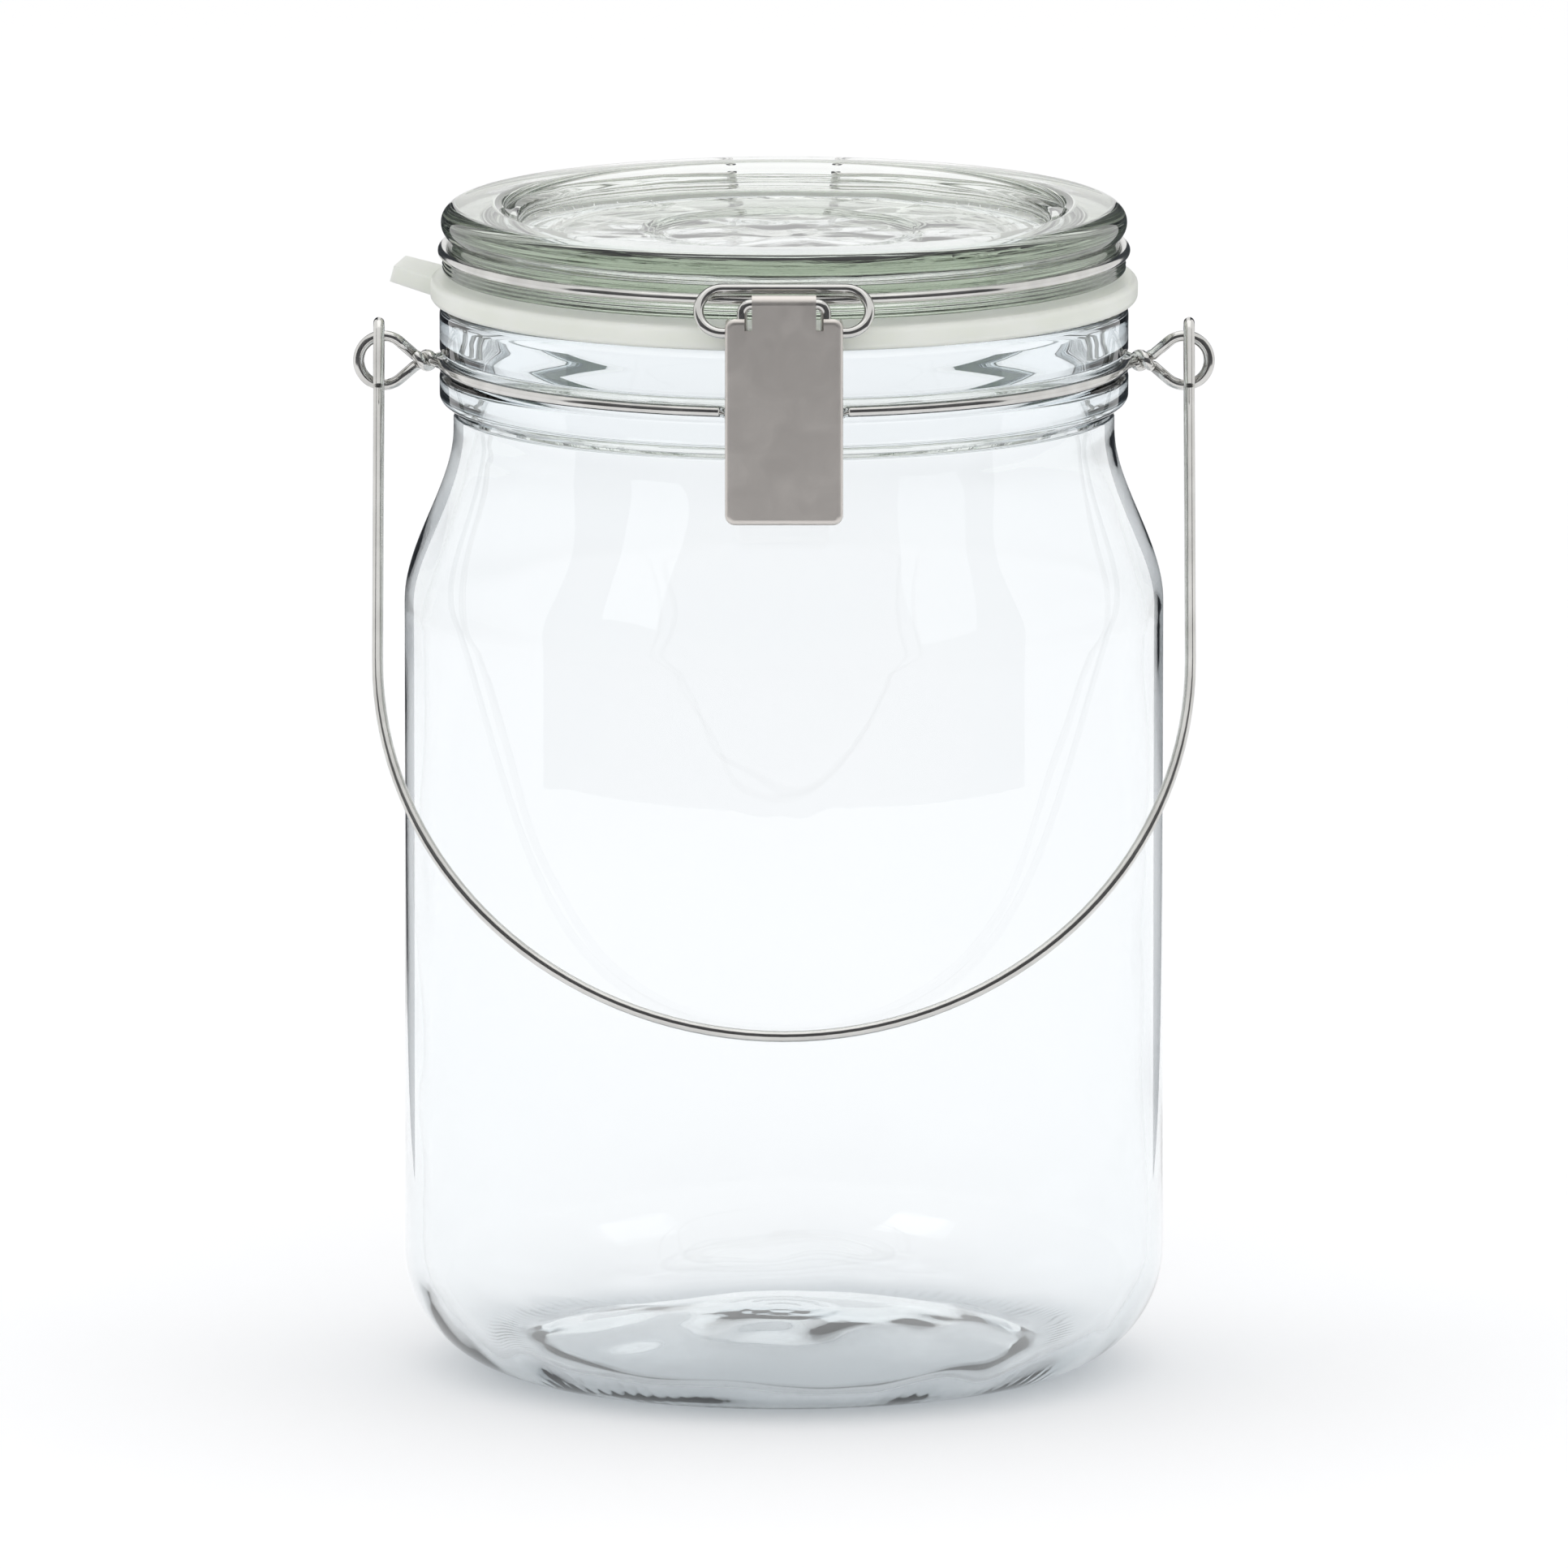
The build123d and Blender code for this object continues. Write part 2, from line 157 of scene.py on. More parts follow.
class CanisterSettings(PropertyGroup):
    jar: PointerProperty(type=JarSettings)
    lid: PointerProperty(type=LidSettings)
    wires: PointerProperty(type=WireSettings)
    latch: PointerProperty(type=LatchSettings)
    stage: PointerProperty(type=StageSettings)


# ---------------------------------------------------------------- colour and material helpers
def to_linear(code):
    """Turns an sRGB hex value into linear red, green, blue and alpha."""
    channels = [int(code[i:i + 2], 16) / 255 for i in (1, 3, 5)]
    linear = [c / 12.92 if c <= 0.04045 else ((c + 0.055) / 1.055) ** 2.4 for c in channels]
    return (*linear, 1.0)


def new_material(name):
    material = bpy.data.materials.new(name)
    material.use_nodes = True
    material.node_tree.nodes.clear()
    return material


def add_node(material, kind, settings=None, **inputs):
    """Adds a node. An input given as (node, output name) is linked, and any other value is set."""
    tree = material.node_tree
    node = tree.nodes.new(kind)
    for key, value in (settings or {}).items():
        setattr(node, key, value)
    for key, value in inputs.items():
        socket = node.inputs[int(key[1:])] if key[1:].isdigit() else node.inputs[key.replace("_", " ")]
        if isinstance(value, tuple) and isinstance(value[0], bpy.types.Node):
            tree.links.new(value[0].outputs[value[1]], socket)
        else:
            socket.default_value = value
    return node


def ramp(material, source, stops):
    """A colour ramp with grey or hex stops: (position, value)."""
    node = add_node(material, "ShaderNodeValToRGB", Fac=source)
    elements = node.color_ramp.elements
    while len(elements) < len(stops):
        elements.new(0.5)
    for element, (place, value) in zip(elements, stops):
        element.position = place
        element.color = to_linear(value) if isinstance(value, str) else (value, value, value, 1.0)
    return node


def finish_material(material, surface, volume=None):
    links = {"Surface": (surface, 0)}
    if volume:
        links["Volume"] = (volume, 0)
    add_node(material, "ShaderNodeOutputMaterial", **links)
    return material


# ---------------------------------------------------------------- materials
def soda_lime_glass(name, tint, depth_mm, ripple_mm, bump):
    """Clear soda-lime glass, formed in an iron mould and fire-polished: sharp reflections that swim
    a little where the mould left the surface uneven, and a tint that only shows in thick places."""
    material = new_material(name)
    place = add_node(material, "ShaderNodeTexCoord")
    swell = add_node(material, "ShaderNodeTexNoise", Vector=(place, "Object"),
                     Scale=1.0 / (ripple_mm * MM), Detail=2.0, Roughness=0.45, Distortion=0.6)
    uneven = add_node(material, "ShaderNodeBump", Height=(swell, 0), Strength=bump, Distance=0.25 * MM)
    glass = add_node(material, "ShaderNodeBsdfPrincipled", Base_Color=(1.0, 1.0, 1.0, 1.0),
                     Roughness=0.0, IOR=1.52, Transmission_Weight=1.0, Normal=(uneven, 0))
    # light from the lamps goes through the glass to the floor, so its shadow stays faint
    path = add_node(material, "ShaderNodeLightPath")
    clear = add_node(material, "ShaderNodeBsdfTransparent", Color=to_linear("#F7F9FB"))
    seen = add_node(material, "ShaderNodeMixShader", i0=(path, "Is Shadow Ray"), i1=(glass, 0), i2=(clear, 0))
    # absorption per metre of glass that leaves the tint after depth_mm
    taken = [-log(share) / (depth_mm * MM) for share in to_linear(tint)[:3]]
    most = max(taken)
    hue = [1.0 - loss / most for loss in taken]
    inside = add_node(material, "ShaderNodeVolumeAbsorption", Color=(*hue, 1.0), Density=most)
    return finish_material(material, seen, inside)


def drawn_stainless_wire(name, shade):
    """Bright stainless wire, drawn through a die: near-mirror across the wire, with faint lengthwise
    die lines and soft grey patches that break up the long highlight."""
    material = new_material(name)
    place = add_node(material, "ShaderNodeTexCoord")
    # die lines are finer than a render shows, so they are drawn about 0.3 mm wide
    lines = add_node(material, "ShaderNodeTexNoise", Vector=(place, "Object"), Scale=900.0, Detail=3.0,
                     Roughness=0.6)
    patches = add_node(material, "ShaderNodeTexNoise", Vector=(place, "Object"), Scale=110.0, Detail=3.0)
    tone = ramp(material, (patches, 0), ((0.30, shade), (0.72, "#DAD9D6")))
    gloss = add_node(material, "ShaderNodeMapRange", Value=(patches, 0), i3=0.09, i4=0.18)
    relief = add_node(material, "ShaderNodeBump", Height=(lines, 0), Strength=0.12, Distance=0.02 * MM)
    steel = add_node(material, "ShaderNodeBsdfPrincipled", Base_Color=(tone, 0), Metallic=1.0,
                     Roughness=(gloss, 0), Normal=(relief, 0))
    return finish_material(material, steel)


def pressed_stainless_sheet(name, shade):
    """Cold-rolled stainless sheet, cut and pressed: a satin grain from the mill rolls, and cloudy
    handling marks where the tumbled surface is a little brighter or duller."""
    material = new_material(name)
    place = add_node(material, "ShaderNodeTexCoord")
    clouds = add_node(material, "ShaderNodeTexNoise", Vector=(place, "Object"), Scale=150.0, Detail=5.0,
                      Roughness=0.62, Distortion=0.8)
    # the grain runs down the lever: about 0.4 mm across and 6 mm long
    long_way = add_node(material, "ShaderNodeMapping", Vector=(place, "Object"),
                        Scale=(2600.0, 2600.0, 160.0))
    grain = add_node(material, "ShaderNodeTexNoise", Vector=(long_way, 0), Scale=1.0, Detail=2.0)
    tone = ramp(material, (clouds, 0), ((0.30, shade), (0.52, "#DAD5D0"), (0.75, "#E0DBD6")))
    gloss = add_node(material, "ShaderNodeMapRange", Value=(clouds, 0), i1=0.3, i2=0.7, i3=0.40, i4=0.48)
    relief = add_node(material, "ShaderNodeBump", Height=(grain, 0), Strength=0.16, Distance=0.03 * MM)
    steel = add_node(material, "ShaderNodeBsdfPrincipled", Base_Color=(tone, 0), Metallic=1.0,
                     Roughness=(gloss, 0), Normal=(relief, 0))
    return finish_material(material, steel)


def milky_silicone(name, shade):
    """Uncoloured food-grade silicone rubber, moulded: light soaks in and comes out milky, with a dull
    wax-like skin that has a fine mould texture."""
    material = new_material(name)
    place = add_node(material, "ShaderNodeTexCoord")
    skin = add_node(material, "ShaderNodeTexNoise", Vector=(place, "Object"), Scale=1400.0, Detail=2.0)
    cloud = add_node(material, "ShaderNodeTexNoise", Vector=(place, "Object"), Scale=60.0, Detail=2.0)
    tone = ramp(material, (cloud, 0), ((0.3, "#E9ECE4"), (0.7, shade)))
    gloss = add_node(material, "ShaderNodeMapRange", Value=(cloud, 0), i3=0.36, i4=0.48)
    relief = add_node(material, "ShaderNodeBump", Height=(skin, 0), Strength=0.1, Distance=0.02 * MM)
    rubber = add_node(material, "ShaderNodeBsdfPrincipled", Base_Color=(tone, 0), Roughness=(gloss, 0),
                      IOR=1.41, Subsurface_Weight=0.6, Subsurface_Radius=(1.0, 1.0, 0.9),
                      Subsurface_Scale=3.0 * MM, Transmission_Weight=0.25, Normal=(relief, 0))
    return finish_material(material, rubber)


def studio_paper(name, shade):
    """Matt white background paper: an even pale floor with no sheen."""
    material = new_material(name)
    paper = add_node(material, "ShaderNodeBsdfPrincipled", Base_Color=to_linear(shade), Roughness=0.9)
    return finish_material(material, paper)


def matt_card(name, shade):
    """Matt card, as stood beside glass in a studio so that its edges read against white."""
    material = new_material(name)
    card = add_node(material, "ShaderNodeBsdfPrincipled", Base_Color=to_linear(shade), Roughness=1.0)
    return finish_material(material, card)


# ---------------------------------------------------------------- mesh helpers
def arc(centre, radius, start, end, steps=10):
    """Points (r, z) on an arc, angles in degrees, both ends included."""
    turns = [radians(start + (end - start) * i / steps) for i in range(steps + 1)]
    return [(centre[0] + radius * cos(t), centre[1] + radius * sin(t)) for t in turns]


def run(start, end, steps):
    """Evenly spaced points between two points, without its ends."""
    return [(start[0] + (end[0] - start[0]) * i / steps, start[1] + (end[1] - start[1]) * i / steps)
            for i in range(1, steps)]


def ease(start, end, steps):
    """Points on an S-shaped curve that leaves and arrives along z, ends included."""
    points = []
    for i in range(steps + 1):
        t = i / steps
        s = t * t * (3 - 2 * t)
        points.append((start[0] + (end[0] - start[0]) * s, start[1] + (end[1] - start[1]) * t))
    return points


def add_piece(name, mesh, material, body, nodes=()):
    """Links a finished mesh as a piece that rides on a body."""
    piece = bpy.data.objects.new(name, mesh)
    bpy.context.scene.collection.objects.link(piece)
    mesh.materials.append(material)
    for face in mesh.polygons:
        face.use_smooth = True
    if nodes:
        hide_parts(*nodes)
    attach(piece, body)
    return piece


def lathe(name, outline, segments, shift=None):
    """A closed solid of revolution. The outline runs from the axis back to the axis, in millimetres,
    and shift(r, z, angle) may move a point by a small (radial, upward) amount."""
    build = bmesh.new()
    rings = []
    for r, z in outline:
        if r < 1e-6:
            rings.append([build.verts.new((0.0, 0.0, z * MM))])
            continue
        ring = []
        for i in range(segments):
            angle = 2 * pi * i / segments
            dr, dz = shift(r, z, angle) if shift else (0.0, 0.0)
            place = Vector(((r + dr) * cos(angle), (r + dr) * sin(angle), z + dz))
            ring.append(build.verts.new(place * MM))
        rings.append(ring)
    for below, above in zip(rings, rings[1:]):
        for i in range(segments):
            j = (i + 1) % segments
            corners = [below[i % len(below)], below[j % len(below)],
                       above[j % len(above)], above[i % len(above)]]
            # at the axis two of the corners are one point
            corners = list(dict.fromkeys(corners))
            if len(corners) > 2:
                build.faces.new(corners)
    bmesh.ops.recalc_face_normals(build, faces=build.faces)
    mesh = bpy.data.meshes.new(name)
    build.to_mesh(mesh)
    build.free()
    return mesh


def tube(name, points, radius, sides=20, closed=False, dome=0.35):
    """A round wire along points in millimetres. Open ends are slightly domed, as sheared wire is."""
    path = [Vector(p) for p in points]
    count = len(path)
    build = bmesh.new()
    rings = []
    side_way = None
    for i, here in enumerate(path):
        before = path[i - 1] if i or closed else path[0]
        after = path[(i + 1) % count] if i + 1 < count or closed else path[-1]
        along = (after - before).normalized()
        if side_way is None:
            side_way = along.orthogonal().normalized()
        side_way = (side_way - along * side_way.dot(along)).normalized()
        other = along.cross(side_way)
        rings.append([build.verts.new((here + (side_way * cos(2 * pi * k / sides)
                                               + other * sin(2 * pi * k / sides)) * radius) * MM)
                      for k in range(sides)])
    pairs = list(zip(rings, rings[1:]))
    if closed:
        # the last ring is turned to meet the first with the least twist
        first = rings[0]
        best = min(range(sides), key=lambda s: (rings[-1][s].co - first[0].co).length)
        pairs.append((rings[-1][best:] + rings[-1][:best], first))
    for one, two in pairs:
        for k in range(sides):
            m = (k + 1) % sides
            build.faces.new((one[k], one[m], two[m], two[k]))
    if not closed:
        for ring, end, inner in ((rings[0], path[0], path[1]), (rings[-1], path[-1], path[-2])):
            out = (end - inner).normalized()
            last = ring
            for share, lift in ((0.9, 0.45), (0.6, 0.8)):
                step = [build.verts.new((end + out * radius * dome * lift) * MM
                                        + (v.co - end * MM) * share) for v in ring]
                for k in range(sides):
                    m = (k + 1) % sides
                    build.faces.new((last[k], last[m], step[m], step[k]))
                last = step
            tip = build.verts.new((end + out * radius * dome) * MM)
            for k in range(sides):
                build.faces.new((last[k], last[(k + 1) % sides], tip))
    bmesh.ops.recalc_face_normals(build, faces=build.faces)
    mesh = bpy.data.meshes.new(name)
    build.to_mesh(mesh)
    build.free()
    return mesh


def bend(points, radius, steps=7):
    """A polyline with each corner rounded to a radius."""
    path = [Vector(p) for p in points]
    rounded = [path[0]]
    for before, here, after in zip(path, path[1:], path[2:]):
        one, two = (before - here).normalized(), (after - here).normalized()
        half = one.angle(two) / 2
        reach = radius / tan(half)
        centre = here + (one + two).normalized() * (reach / cos(half))
        start = (here + one * reach - centre).normalized()
        end = (here + two * reach - centre).normalized()
        rounded += [centre + start.slerp(end, i / steps) * radius for i in range(steps + 1)]
    return rounded + [path[-1]]


def round_band(radius, start, end, step=2.5):
    """Points round the jar at the neck band's height, angles in degrees from +X."""
    steps = max(2, int(abs(end - start) / step))
    turns = [radians(start + (end - start) * i / steps) for i in range(steps + 1)]
    return [Vector((radius * cos(t), radius * sin(t), BAND_Z)) for t in turns]


def eye_path(wires, band_radius, leave):
    """The right-hand eye, from the wire behind it to the wire in front: both strands wind round each
    other for three quarters of a turn, and open into a round eye."""
    middle = EYE_END - EYE_HALF
    eye = EYE_HALF - wires.band
    apart = wires.band * 1.02
    near = band_radius + wires.band + 0.4
    behind, in_front = [], []
    for i in range(19):
        turn = radians(180 + 270 * i / 18)
        x = near + wires.twist * i / 18
        in_front.append(Vector((x, apart * cos(turn), BAND_Z + apart * sin(turn))))
        behind.append(Vector((x, -apart * cos(turn), BAND_Z - apart * sin(turn))))
    # the lower leg, the round of the eye and the upper leg
    loop = [Vector((middle + eye * cos(radians(a)), 0, BAND_Z + eye * sin(radians(a))))
            for a in range(-133, 134, 7)]
    lead = band_radius * sin(radians(leave))
    back_lead = Vector((band_radius * cos(radians(leave)) + 0.5, lead * 0.55, BAND_Z))
    front_lead = Vector((back_lead.x, -back_lead.y, BAND_Z))
    return [back_lead, *behind, *loop, *reversed(in_front), front_lead]


def neck_band_path(wires, jar):
    """The neck band's wire from one rear knuckle round both eyes and the front run to the other."""
    band_radius = jar.bead_radius - jar.groove + wires.band + wires.seat
    leave = 9.0
    hinge = [v / MM for v in JOINTS["lid_open"]["pos_m"]]
    front = JOINTS["link_swing"]["pos_m"][1] / MM
    curl = hinge[2] - BAND_Z
    # rear knuckle, from its free end down to the band
    knuckle = [Vector((wires.knuckle, hinge[1] + curl * cos(radians(a)), hinge[2] + curl * sin(radians(a))))
               for a in range(180, -91, -10)]
    side = asin((wires.knuckle + wires.bend) / band_radius)
    back = Vector((band_radius * sin(side), band_radius * cos(side), BAND_Z))
    turn = back + Vector((-cos(side), sin(side), 0)) * (wires.bend / cos(side))
    knuckle += bend([knuckle[-1], turn, back], wires.bend * 0.9)[1:]
    # front run, from the band out to the latch and back
    join_side = asin((wires.run + wires.run_return) / band_radius)
    join = Vector((band_radius * sin(join_side), -band_radius * cos(join_side), BAND_Z))
    corner = join - Vector((cos(join_side), sin(join_side), 0)) * wires.run_straight
    run_right = bend([join, corner, (wires.run, front, BAND_Z), (0, front, BAND_Z)], wires.run_bend)
    across = [Vector((-p.x, p.y, p.z)) for p in run_right[-2::-1]]
    right = eye_path(wires, band_radius, leave)
    left = [Vector((-p.x, -p.y, p.z)) for p in right]
    rear, fore = 90 - degrees(side), 90 - degrees(join_side)
    return (knuckle[:-1] + round_band(band_radius, rear, leave) + right
            + round_band(band_radius, -leave, -fore)[:-1] + run_right + across[:-1]
            + round_band(band_radius, fore - 180, leave - 180) + left
            + round_band(band_radius, 180 - leave, 180 - rear)[:-1]
            + [Vector((-p.x, p.y, p.z)) for p in reversed(knuckle)])


# ---------------------------------------------------------------- glass outlines
def jar_outline(jar):
    """The jar's outline from the middle of its underside round to the middle of its floor."""
    stand = BODY_R - jar.heel
    inner_stand = stand - jar.stand_width
    dome_r = (inner_stand ** 2 + jar.push_up ** 2) / (2 * jar.push_up)
    dome_end = degrees(asin(inner_stand / dome_r))
    dome = arc((0, jar.push_up - dome_r), dome_r, 90, 90 - dome_end, 26)
    # shallow rings pressed in the middle of the underside
    rings = [(r, z - 0.35 * (1 - cos(2 * pi * r / 4.2)) * max(0.0, 1 - r / 13.0)) for r, z in dome]
    neck_round = 0.8        # where the neck meets the lower bead
    bead_round = 2.2        # underside of the lower bead
    edge_round = 1.2        # edges of the wire's groove
    groove_round = 0.9      # corners of the groove's floor
    groove_half = 2.1       # half the height of the groove's mouth
    lip_round = 3.0         # outside of the mouth
    mouth_round = 2.0       # inside of the mouth
    neck_z = RIM_Z - jar.neck_drop
    side_z = neck_z - jar.shoulder_rise
    bead_z = RIM_Z - jar.bead_drop
    outside = rings + run(rings[-1], (stand, 0), 3)
    outside += arc((stand, jar.heel), jar.heel, -90, 0, 30)
    outside += run((BODY_R, jar.heel), (BODY_R, side_z), 24)
    outside += ease((BODY_R, side_z), (jar.neck_radius, neck_z), 26)
    outside += run((jar.neck_radius, neck_z), (jar.neck_radius, bead_z - 0.6), 3)
    # lower bead, the wire's groove, upper bead and lip
    bead, floor = jar.bead_radius, jar.bead_radius - jar.groove
    lower_edge = BAND_Z - groove_half - edge_round
    upper_edge = BAND_Z + groove_half + edge_round
    lip_z = RIM_Z - lip_round
    outside += arc((jar.neck_radius + neck_round, bead_z + 0.2), neck_round, 180, 250, 4)
    outside += arc((bead - bead_round, bead_z + 2.4), bead_round, -50, 0, 6)
    outside += arc((bead - edge_round, lower_edge), edge_round, 0, 70, 5)
    outside += arc((floor + groove_round, BAND_Z - 0.5), groove_round, 230, 180, 3)
    outside += arc((floor + groove_round, BAND_Z + 0.5), groove_round, 180, 130, 3)
    outside += arc((bead - edge_round, upper_edge), edge_round, -70, 0, 5)
    outside += run((bead, upper_edge), (bead, lip_z), 4)
    outside += arc((bead - lip_round, lip_z), lip_round, 0, 90, 9)
    inside = arc((jar.mouth + mouth_round, RIM_Z - mouth_round), mouth_round, 90, 180, 7)
    inside += run((jar.mouth, RIM_Z - mouth_round), (jar.mouth, neck_z + 4), 5)
    wide = BODY_R - jar.wall
    inside += ease((jar.mouth, neck_z + 4), (wide, side_z - 4), 26)
    heel = jar.heel - jar.wall
    inside += run((wide, side_z - 4), (wide, jar.heel), 24)
    inside += arc((wide - heel, jar.heel), heel, 0, -90, 22)
    # the floor's top, rising from the heel to the middle
    reach = wide - heel
    middle = jar.push_up + jar.base
    steps = 24
    for i in range(1, steps + 1):
        r = reach * (1 - i / steps)
        inside.append((r, jar.wall + (middle - jar.wall) * (1 - (r / reach) ** 2) ** 1.1))
    return outside + inside, len(outside)


def lid_outline(lid):
    """The lid's outline from the middle of its underside round to the middle of its recessed top."""
    groove = lid.flange - lid.groove
    flange_top = SEAT_Z + lid.flange_height
    rim_r, rim_z = LID_R - lid.bead, TOP_Z - lid.bead
    floor_z = TOP_Z - lid.recess_depth
    ceiling = floor_z - lid.floor
    inner = lid.plug - lid.plug_wall
    corner = 0.8            # underside of the flange
    edge = 0.7              # top of the flange
    bank_round = 3.0        # where the rim turns down into the recess
    foot_round = 1.4        # at the foot of that bank
    first_step = TOP_Z - 5.1
    last_step = floor_z + 0.55
    points = [(0, ceiling)] + run((0, ceiling), (inner - 5, ceiling), 12)
    points += ease((inner - 5, ceiling), (inner, PLUG_Z + 1.6), 6)
    points += arc((lid.plug - lid.plug_wall / 2, PLUG_Z + 1.6), lid.plug_wall / 2, 180, 360, 10)[1:-1]
    points += [(lid.plug, PLUG_Z + 1.8), (lid.plug, SEAT_Z - 0.4), (lid.plug + 0.4, SEAT_Z)]
    points += run((lid.plug + 0.4, SEAT_Z), (lid.flange - corner, SEAT_Z), 4)
    points += arc((lid.flange - corner, SEAT_Z + corner), corner, -90, 0, 4)
    # three fine mould ridges round the flange
    ridges = 3
    for i in range(1, 4 * ridges):
        z = SEAT_Z + corner + (lid.flange_height - corner - edge) * i / (4 * ridges)
        points.append((lid.flange - 0.16 * (1 - cos(2 * pi * i / 4)), z))
    points += arc((lid.flange - edge, flange_top - edge), edge, 0, 90, 4)
    points += [(groove + 0.3, flange_top), (groove, flange_top + 0.3)]
    turn = degrees(acos((groove - rim_r) / lid.bead))
    points += [(groove, rim_z - lid.bead * sin(radians(turn)) - 0.2)]
    points += arc((rim_r, rim_z), lid.bead, -turn + 4, 90, 22)
    # the recessed top: a soft bank, two steps and a flat middle
    bank = lid.recess
    points += arc((bank + 6.0, TOP_Z - bank_round), bank_round, 90, 120, 5)
    points += ease((bank + 3.4, TOP_Z - 1.0), (bank, TOP_Z - 3.4), 8)
    points += arc((bank - foot_round, TOP_Z - 3.3), foot_round, 0, -70, 5)
    points += ease((bank * 0.87, TOP_Z - 4.8), (bank * 0.84, first_step), 5)
    points += run((bank * 0.84, first_step), (lid.floor_radius + 1.6, last_step), 8)
    points += ease((lid.floor_radius + 1.6, last_step), (lid.floor_radius, floor_z), 5)
    points += run((lid.floor_radius, floor_z), (0, floor_z), 8)
    points.append((0, floor_z))
    return points


def add_card(name, line, height, material):
    """Stands a card on the floor along a line of (x, y) points, in metres. Lamps and the camera pass it."""
    card = bpy.data.meshes.new(name)
    foot = [(x, y, 0.0) for x, y in line]
    top = [(x, y, height) for x, y in line]
    count = len(line)
    card.from_pydata(foot + top, [], [(i, i + 1, count + i + 1, count + i) for i in range(count - 1)])
    card.materials.append(material)
    thing = bpy.data.objects.new(name, card)
    thing.visible_camera = False
    thing.visible_diffuse = False
    thing.visible_shadow = False
    thing.visible_transmission = False
    bpy.context.scene.collection.objects.link(thing)


# ---------------------------------------------------------------- operators
class CANISTER_OT_jar(Operator):
    """Make the glass jar: beaded neck, wire groove, pushed-up base and ticked heel"""
    bl_idname = "canister.jar"
    bl_label = "Glass jar"

    def execute(self, context):
        jar = context.scene.canister.jar
        outline, outer = jar_outline(jar)
        inside = set(outline[outer:])
        tick_start = BODY_R - jar.heel + 4.0
        tick_length = 7.0
        neck_low = RIM_Z - 30
        floor_high = 20

        def shift(r, z, angle):
            x, y = cos(angle), sin(angle)
            # the inside has a slow unevenness, as blown glass has, and the floor has waves about 17 mm long
            if (r, z) in inside:
                swell = noise.noise(Vector((x * 1.7, y * 1.7, z / 48)))
                fine = noise.noise(Vector((x * 5.0, y * 5.0, z / 16 + 7)))
                deep = jar.uneven if z < neck_low else 0.12
                wave = noise.noise(Vector((r * x / 17, r * y / 17, 5.0)))
                out = min(1.0, r / 30)
                return (swell + fine * 0.3) * deep * out, wave * 0.5 if z < floor_high else 0.0
            # ticks on the heel just outside the standing ring
            along = (r - tick_start) / tick_length
            if 0 < along < 1 and z < 4.5:
                ticked = 0.5 - 0.5 * cos(angle * jar.ticks)
                depth = jar.tick_depth * sin(pi * along)
                return -ticked * depth * 0.3, ticked * depth
            return 0.0, 0.0

        glass = soda_lime_glass("Soda-lime glass, blown and fire-polished", jar.tint, jar.tint_depth,
                                38.0, 0.10)
        # three steps round the jar for each tick
        mesh = lathe("jar_glass", outline, jar.ticks * 3, shift)
        add_piece("jar_glass", mesh, glass, "jar", ("jar_body",))
        return {"FINISHED"}


class CANISTER_OT_lid(Operator):
    """Make the pressed glass lid: thick rim, wire groove and recessed top"""
    bl_idname = "canister.lid"
    bl_label = "Glass lid"

    def execute(self, context):
        lid = context.scene.canister.lid

        def shift(r, z, angle):
            # the recessed top has long waves and short ones, left by the mould
            if r < 60 and z > SEAT_Z:
                wave = noise.noise(Vector((r * cos(angle) / 16, r * sin(angle) / 16, 3.0)))
                fine = noise.noise(Vector((r * cos(angle) / 5, r * sin(angle) / 5, 9.0)))
                share = min(1.0, r / 6)
                return 0.0, share * (0.32 * wave + 0.08 * fine) - 0.1
            return 0.0, 0.0

        glass = soda_lime_glass("Soda-lime glass, pressed in an iron mould", lid.tint, lid.tint_depth,
                                24.0, 0.14)
        mesh = lathe("lid_glass", lid_outline(lid), 288, shift)
        add_piece("lid_glass", mesh, glass, "lid", ("lid",))
        return {"FINISHED"}


class CANISTER_OT_wires(Operator):
    """Give the wire pieces the finish of bright drawn wire"""
    bl_idname = "canister.wires"
    bl_label = "Wires"

    def execute(self, context):
        wires = context.scene.canister.wires
        steel = drawn_stainless_wire("Stainless wire, bright drawn", wires.shade)
        mesh = tube("neck_band_wire", neck_band_path(wires, context.scene.canister.jar), wires.band)
        add_piece("neck_band_wire", mesh, steel, "jar", ("neck_band",))
        for node in ("carry_handle", "lid_band", "pull_link", "latch_ring"):
            for held in frame["nodes"][node].material_slots:
                held.material = steel
        return {"FINISHED"}


class CANISTER_OT_latch(Operator):
    """Give the latch lever and the gasket their finishes"""
    bl_idname = "canister.latch"
    bl_label = "Lever and gasket"

    def execute(self, context):
        latch = context.scene.canister.latch
        sheet = pressed_stainless_sheet("Stainless sheet, cold-rolled and pressed", latch.shade)
        rubber = milky_silicone("Silicone rubber, moulded, uncoloured", latch.gasket)
        for node, finish in (("latch_lever", sheet), ("gasket", rubber)):
            for held in frame["nodes"][node].material_slots:
                held.material = finish
        return {"FINISHED"}


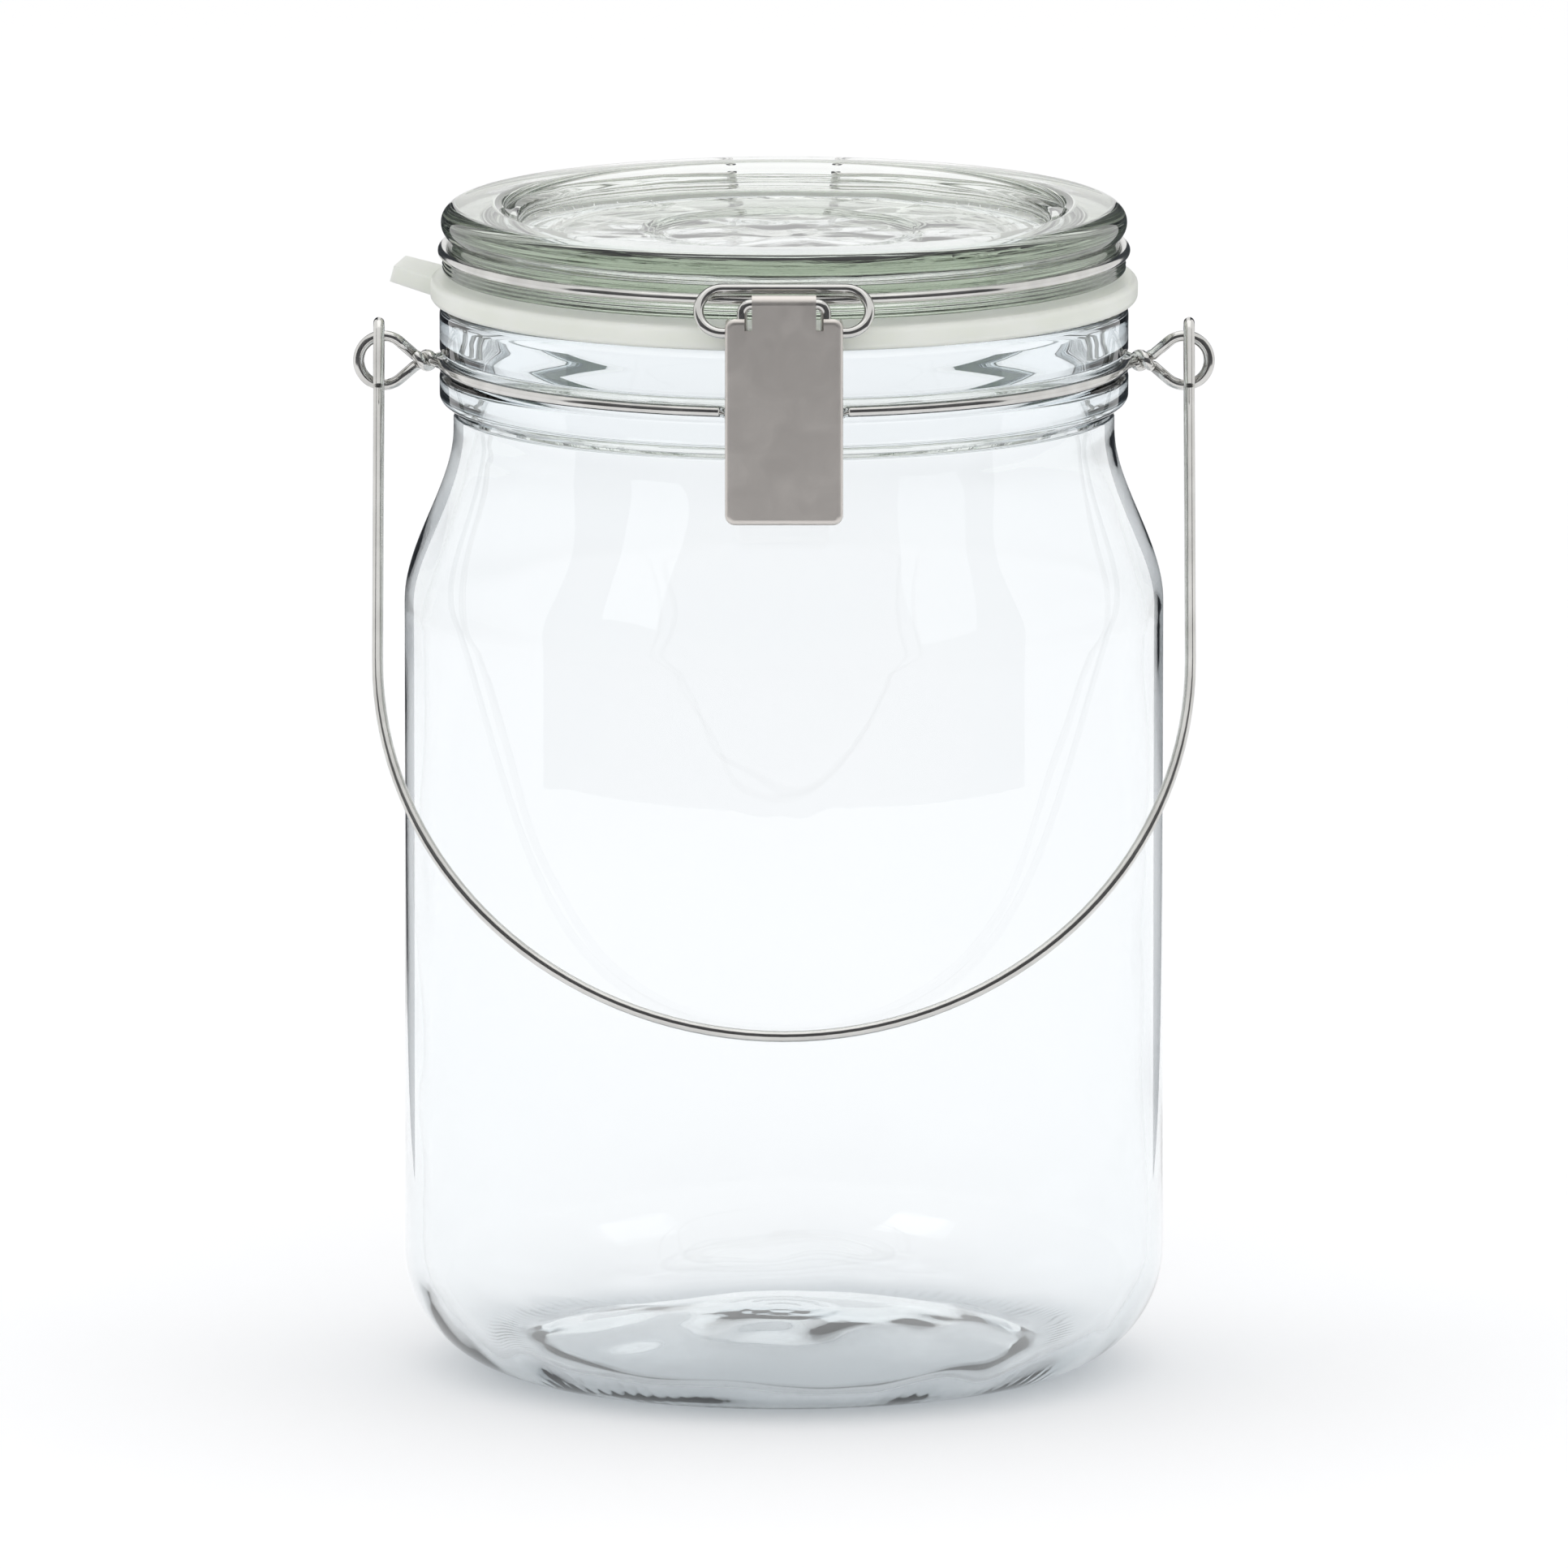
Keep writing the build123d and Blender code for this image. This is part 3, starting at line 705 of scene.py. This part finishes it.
class CANISTER_OT_stage(Operator):
    """Make the white floor, the soft lights, the dark cards round the glass and the camera"""
    bl_idname = "canister.stage"
    bl_label = "Stage"

    def execute(self, context):
        stage = context.scene.canister.stage
        floor = bpy.data.meshes.new("floor")
        half = 12.0
        corners = [(-half, -half, 0), (half, -half, 0), (half, half, 0), (-half, half, 0)]
        floor.from_pydata(corners, [], [(0, 1, 2, 3)])
        ground = bpy.data.objects.new("floor", floor)
        ground.location.z = -0.02 * MM
        floor.materials.append(studio_paper("Background paper, matt white", "#FAFAFB"))
        context.scene.collection.objects.link(ground)

        # cards that only reflections see: they draw the edges of the glass and the dark core
        # of the wires
        slate = matt_card("Card, matt slate", "#1E262E")
        blue_grey = matt_card("Card, matt blue-grey", "#222A33")
        add_card("left_card", [(-0.19, 0.20), (-0.19, 1.25)], 0.6, slate)
        add_card("right_card", [(0.19, 0.20), (0.19, 1.25)], 0.6, blue_grey)
        curve = [(0.9 * cos(radians(a)), 0.9 * sin(radians(a))) for a in range(-165, -14, 6)]
        add_card("front_card", curve, 0.95, matt_card("Card, matt grey", "#4E4E50"))

        for name, place, aim, size, power in (
                ("top_softbox", (0.0, 0.2, 2.2), (0, 0, 0), 2.0, 6.0),
                ("left_softbox", (-1.6, -1.4, 1.3), (0, 0, 0.12), 0.9, 3.0),
                ("right_softbox", (1.6, -1.2, 1.2), (0, 0, 0.12), 0.9, 2.0)):
            light = bpy.data.lights.new(name, "AREA")
            light.shape = "SQUARE"
            light.size = size
            light.energy = power
            lamp = bpy.data.objects.new(name, light)
            lamp.location = place
            lamp.rotation_euler = (Vector(place) - Vector(aim)).to_track_quat("Z", "Y").to_euler()
            context.scene.collection.objects.link(lamp)

        world = bpy.data.worlds.new("white studio")
        context.scene.world = world
        world.use_nodes = True
        sky = world.node_tree.nodes["Background"]
        sky.inputs["Color"].default_value = to_linear("#FFFFFF")
        sky.inputs["Strength"].default_value = stage.backdrop
        context.scene.view_settings.view_transform = "Standard"
        # light goes through many glass surfaces before it leaves the base
        context.scene.cycles.max_bounces = 32
        context.scene.cycles.transmission_bounces = 32

        aim = Vector((0, 0, stage.aim * MM))
        away = Vector((0, -cos(stage.elevation), sin(stage.elevation))) * stage.distance
        lens = bpy.data.cameras.new("camera")
        lens.lens = stage.focal
        lens.sensor_width = 36.0
        lens.clip_end = 60.0
        camera = bpy.data.objects.new("camera", lens)
        camera.location = aim + away
        camera.rotation_euler = away.to_track_quat("Z", "Y").to_euler()
        context.scene.collection.objects.link(camera)
        context.scene.camera = camera
        return {"FINISHED"}


class CANISTER_PT_panel(Panel):
    """Lists the canister's pieces in the sidebar"""
    bl_idname = "CANISTER_PT_panel"
    bl_label = "Glass canister"
    bl_space_type = "VIEW_3D"
    bl_region_type = "UI"
    bl_category = "Canister"

    def draw(self, context):
        settings = context.scene.canister
        for group in ("jar", "lid", "wires", "latch", "stage"):
            box = self.layout.box()
            box.operator("canister." + group)
            part = getattr(settings, group)
            for key in part.__annotations__:
                box.prop(part, key)


SETTINGS = (JarSettings, LidSettings, WireSettings, LatchSettings, StageSettings, CanisterSettings)
OPERATORS = (CANISTER_OT_jar, CANISTER_OT_lid, CANISTER_OT_wires, CANISTER_OT_latch, CANISTER_OT_stage)


def register():
    for kind in (*SETTINGS, *OPERATORS, CANISTER_PT_panel):
        bpy.utils.register_class(kind)
    bpy.types.Scene.canister = PointerProperty(type=CanisterSettings)


def unregister():
    del bpy.types.Scene.canister
    for kind in reversed((*SETTINGS, *OPERATORS, CANISTER_PT_panel)):
        bpy.utils.unregister_class(kind)


def main():
    register()
    for kind in OPERATORS:
        group, name = kind.bl_idname.split(".")
        getattr(getattr(bpy.ops, group), name)()


if __name__ == "__main__":
    main()
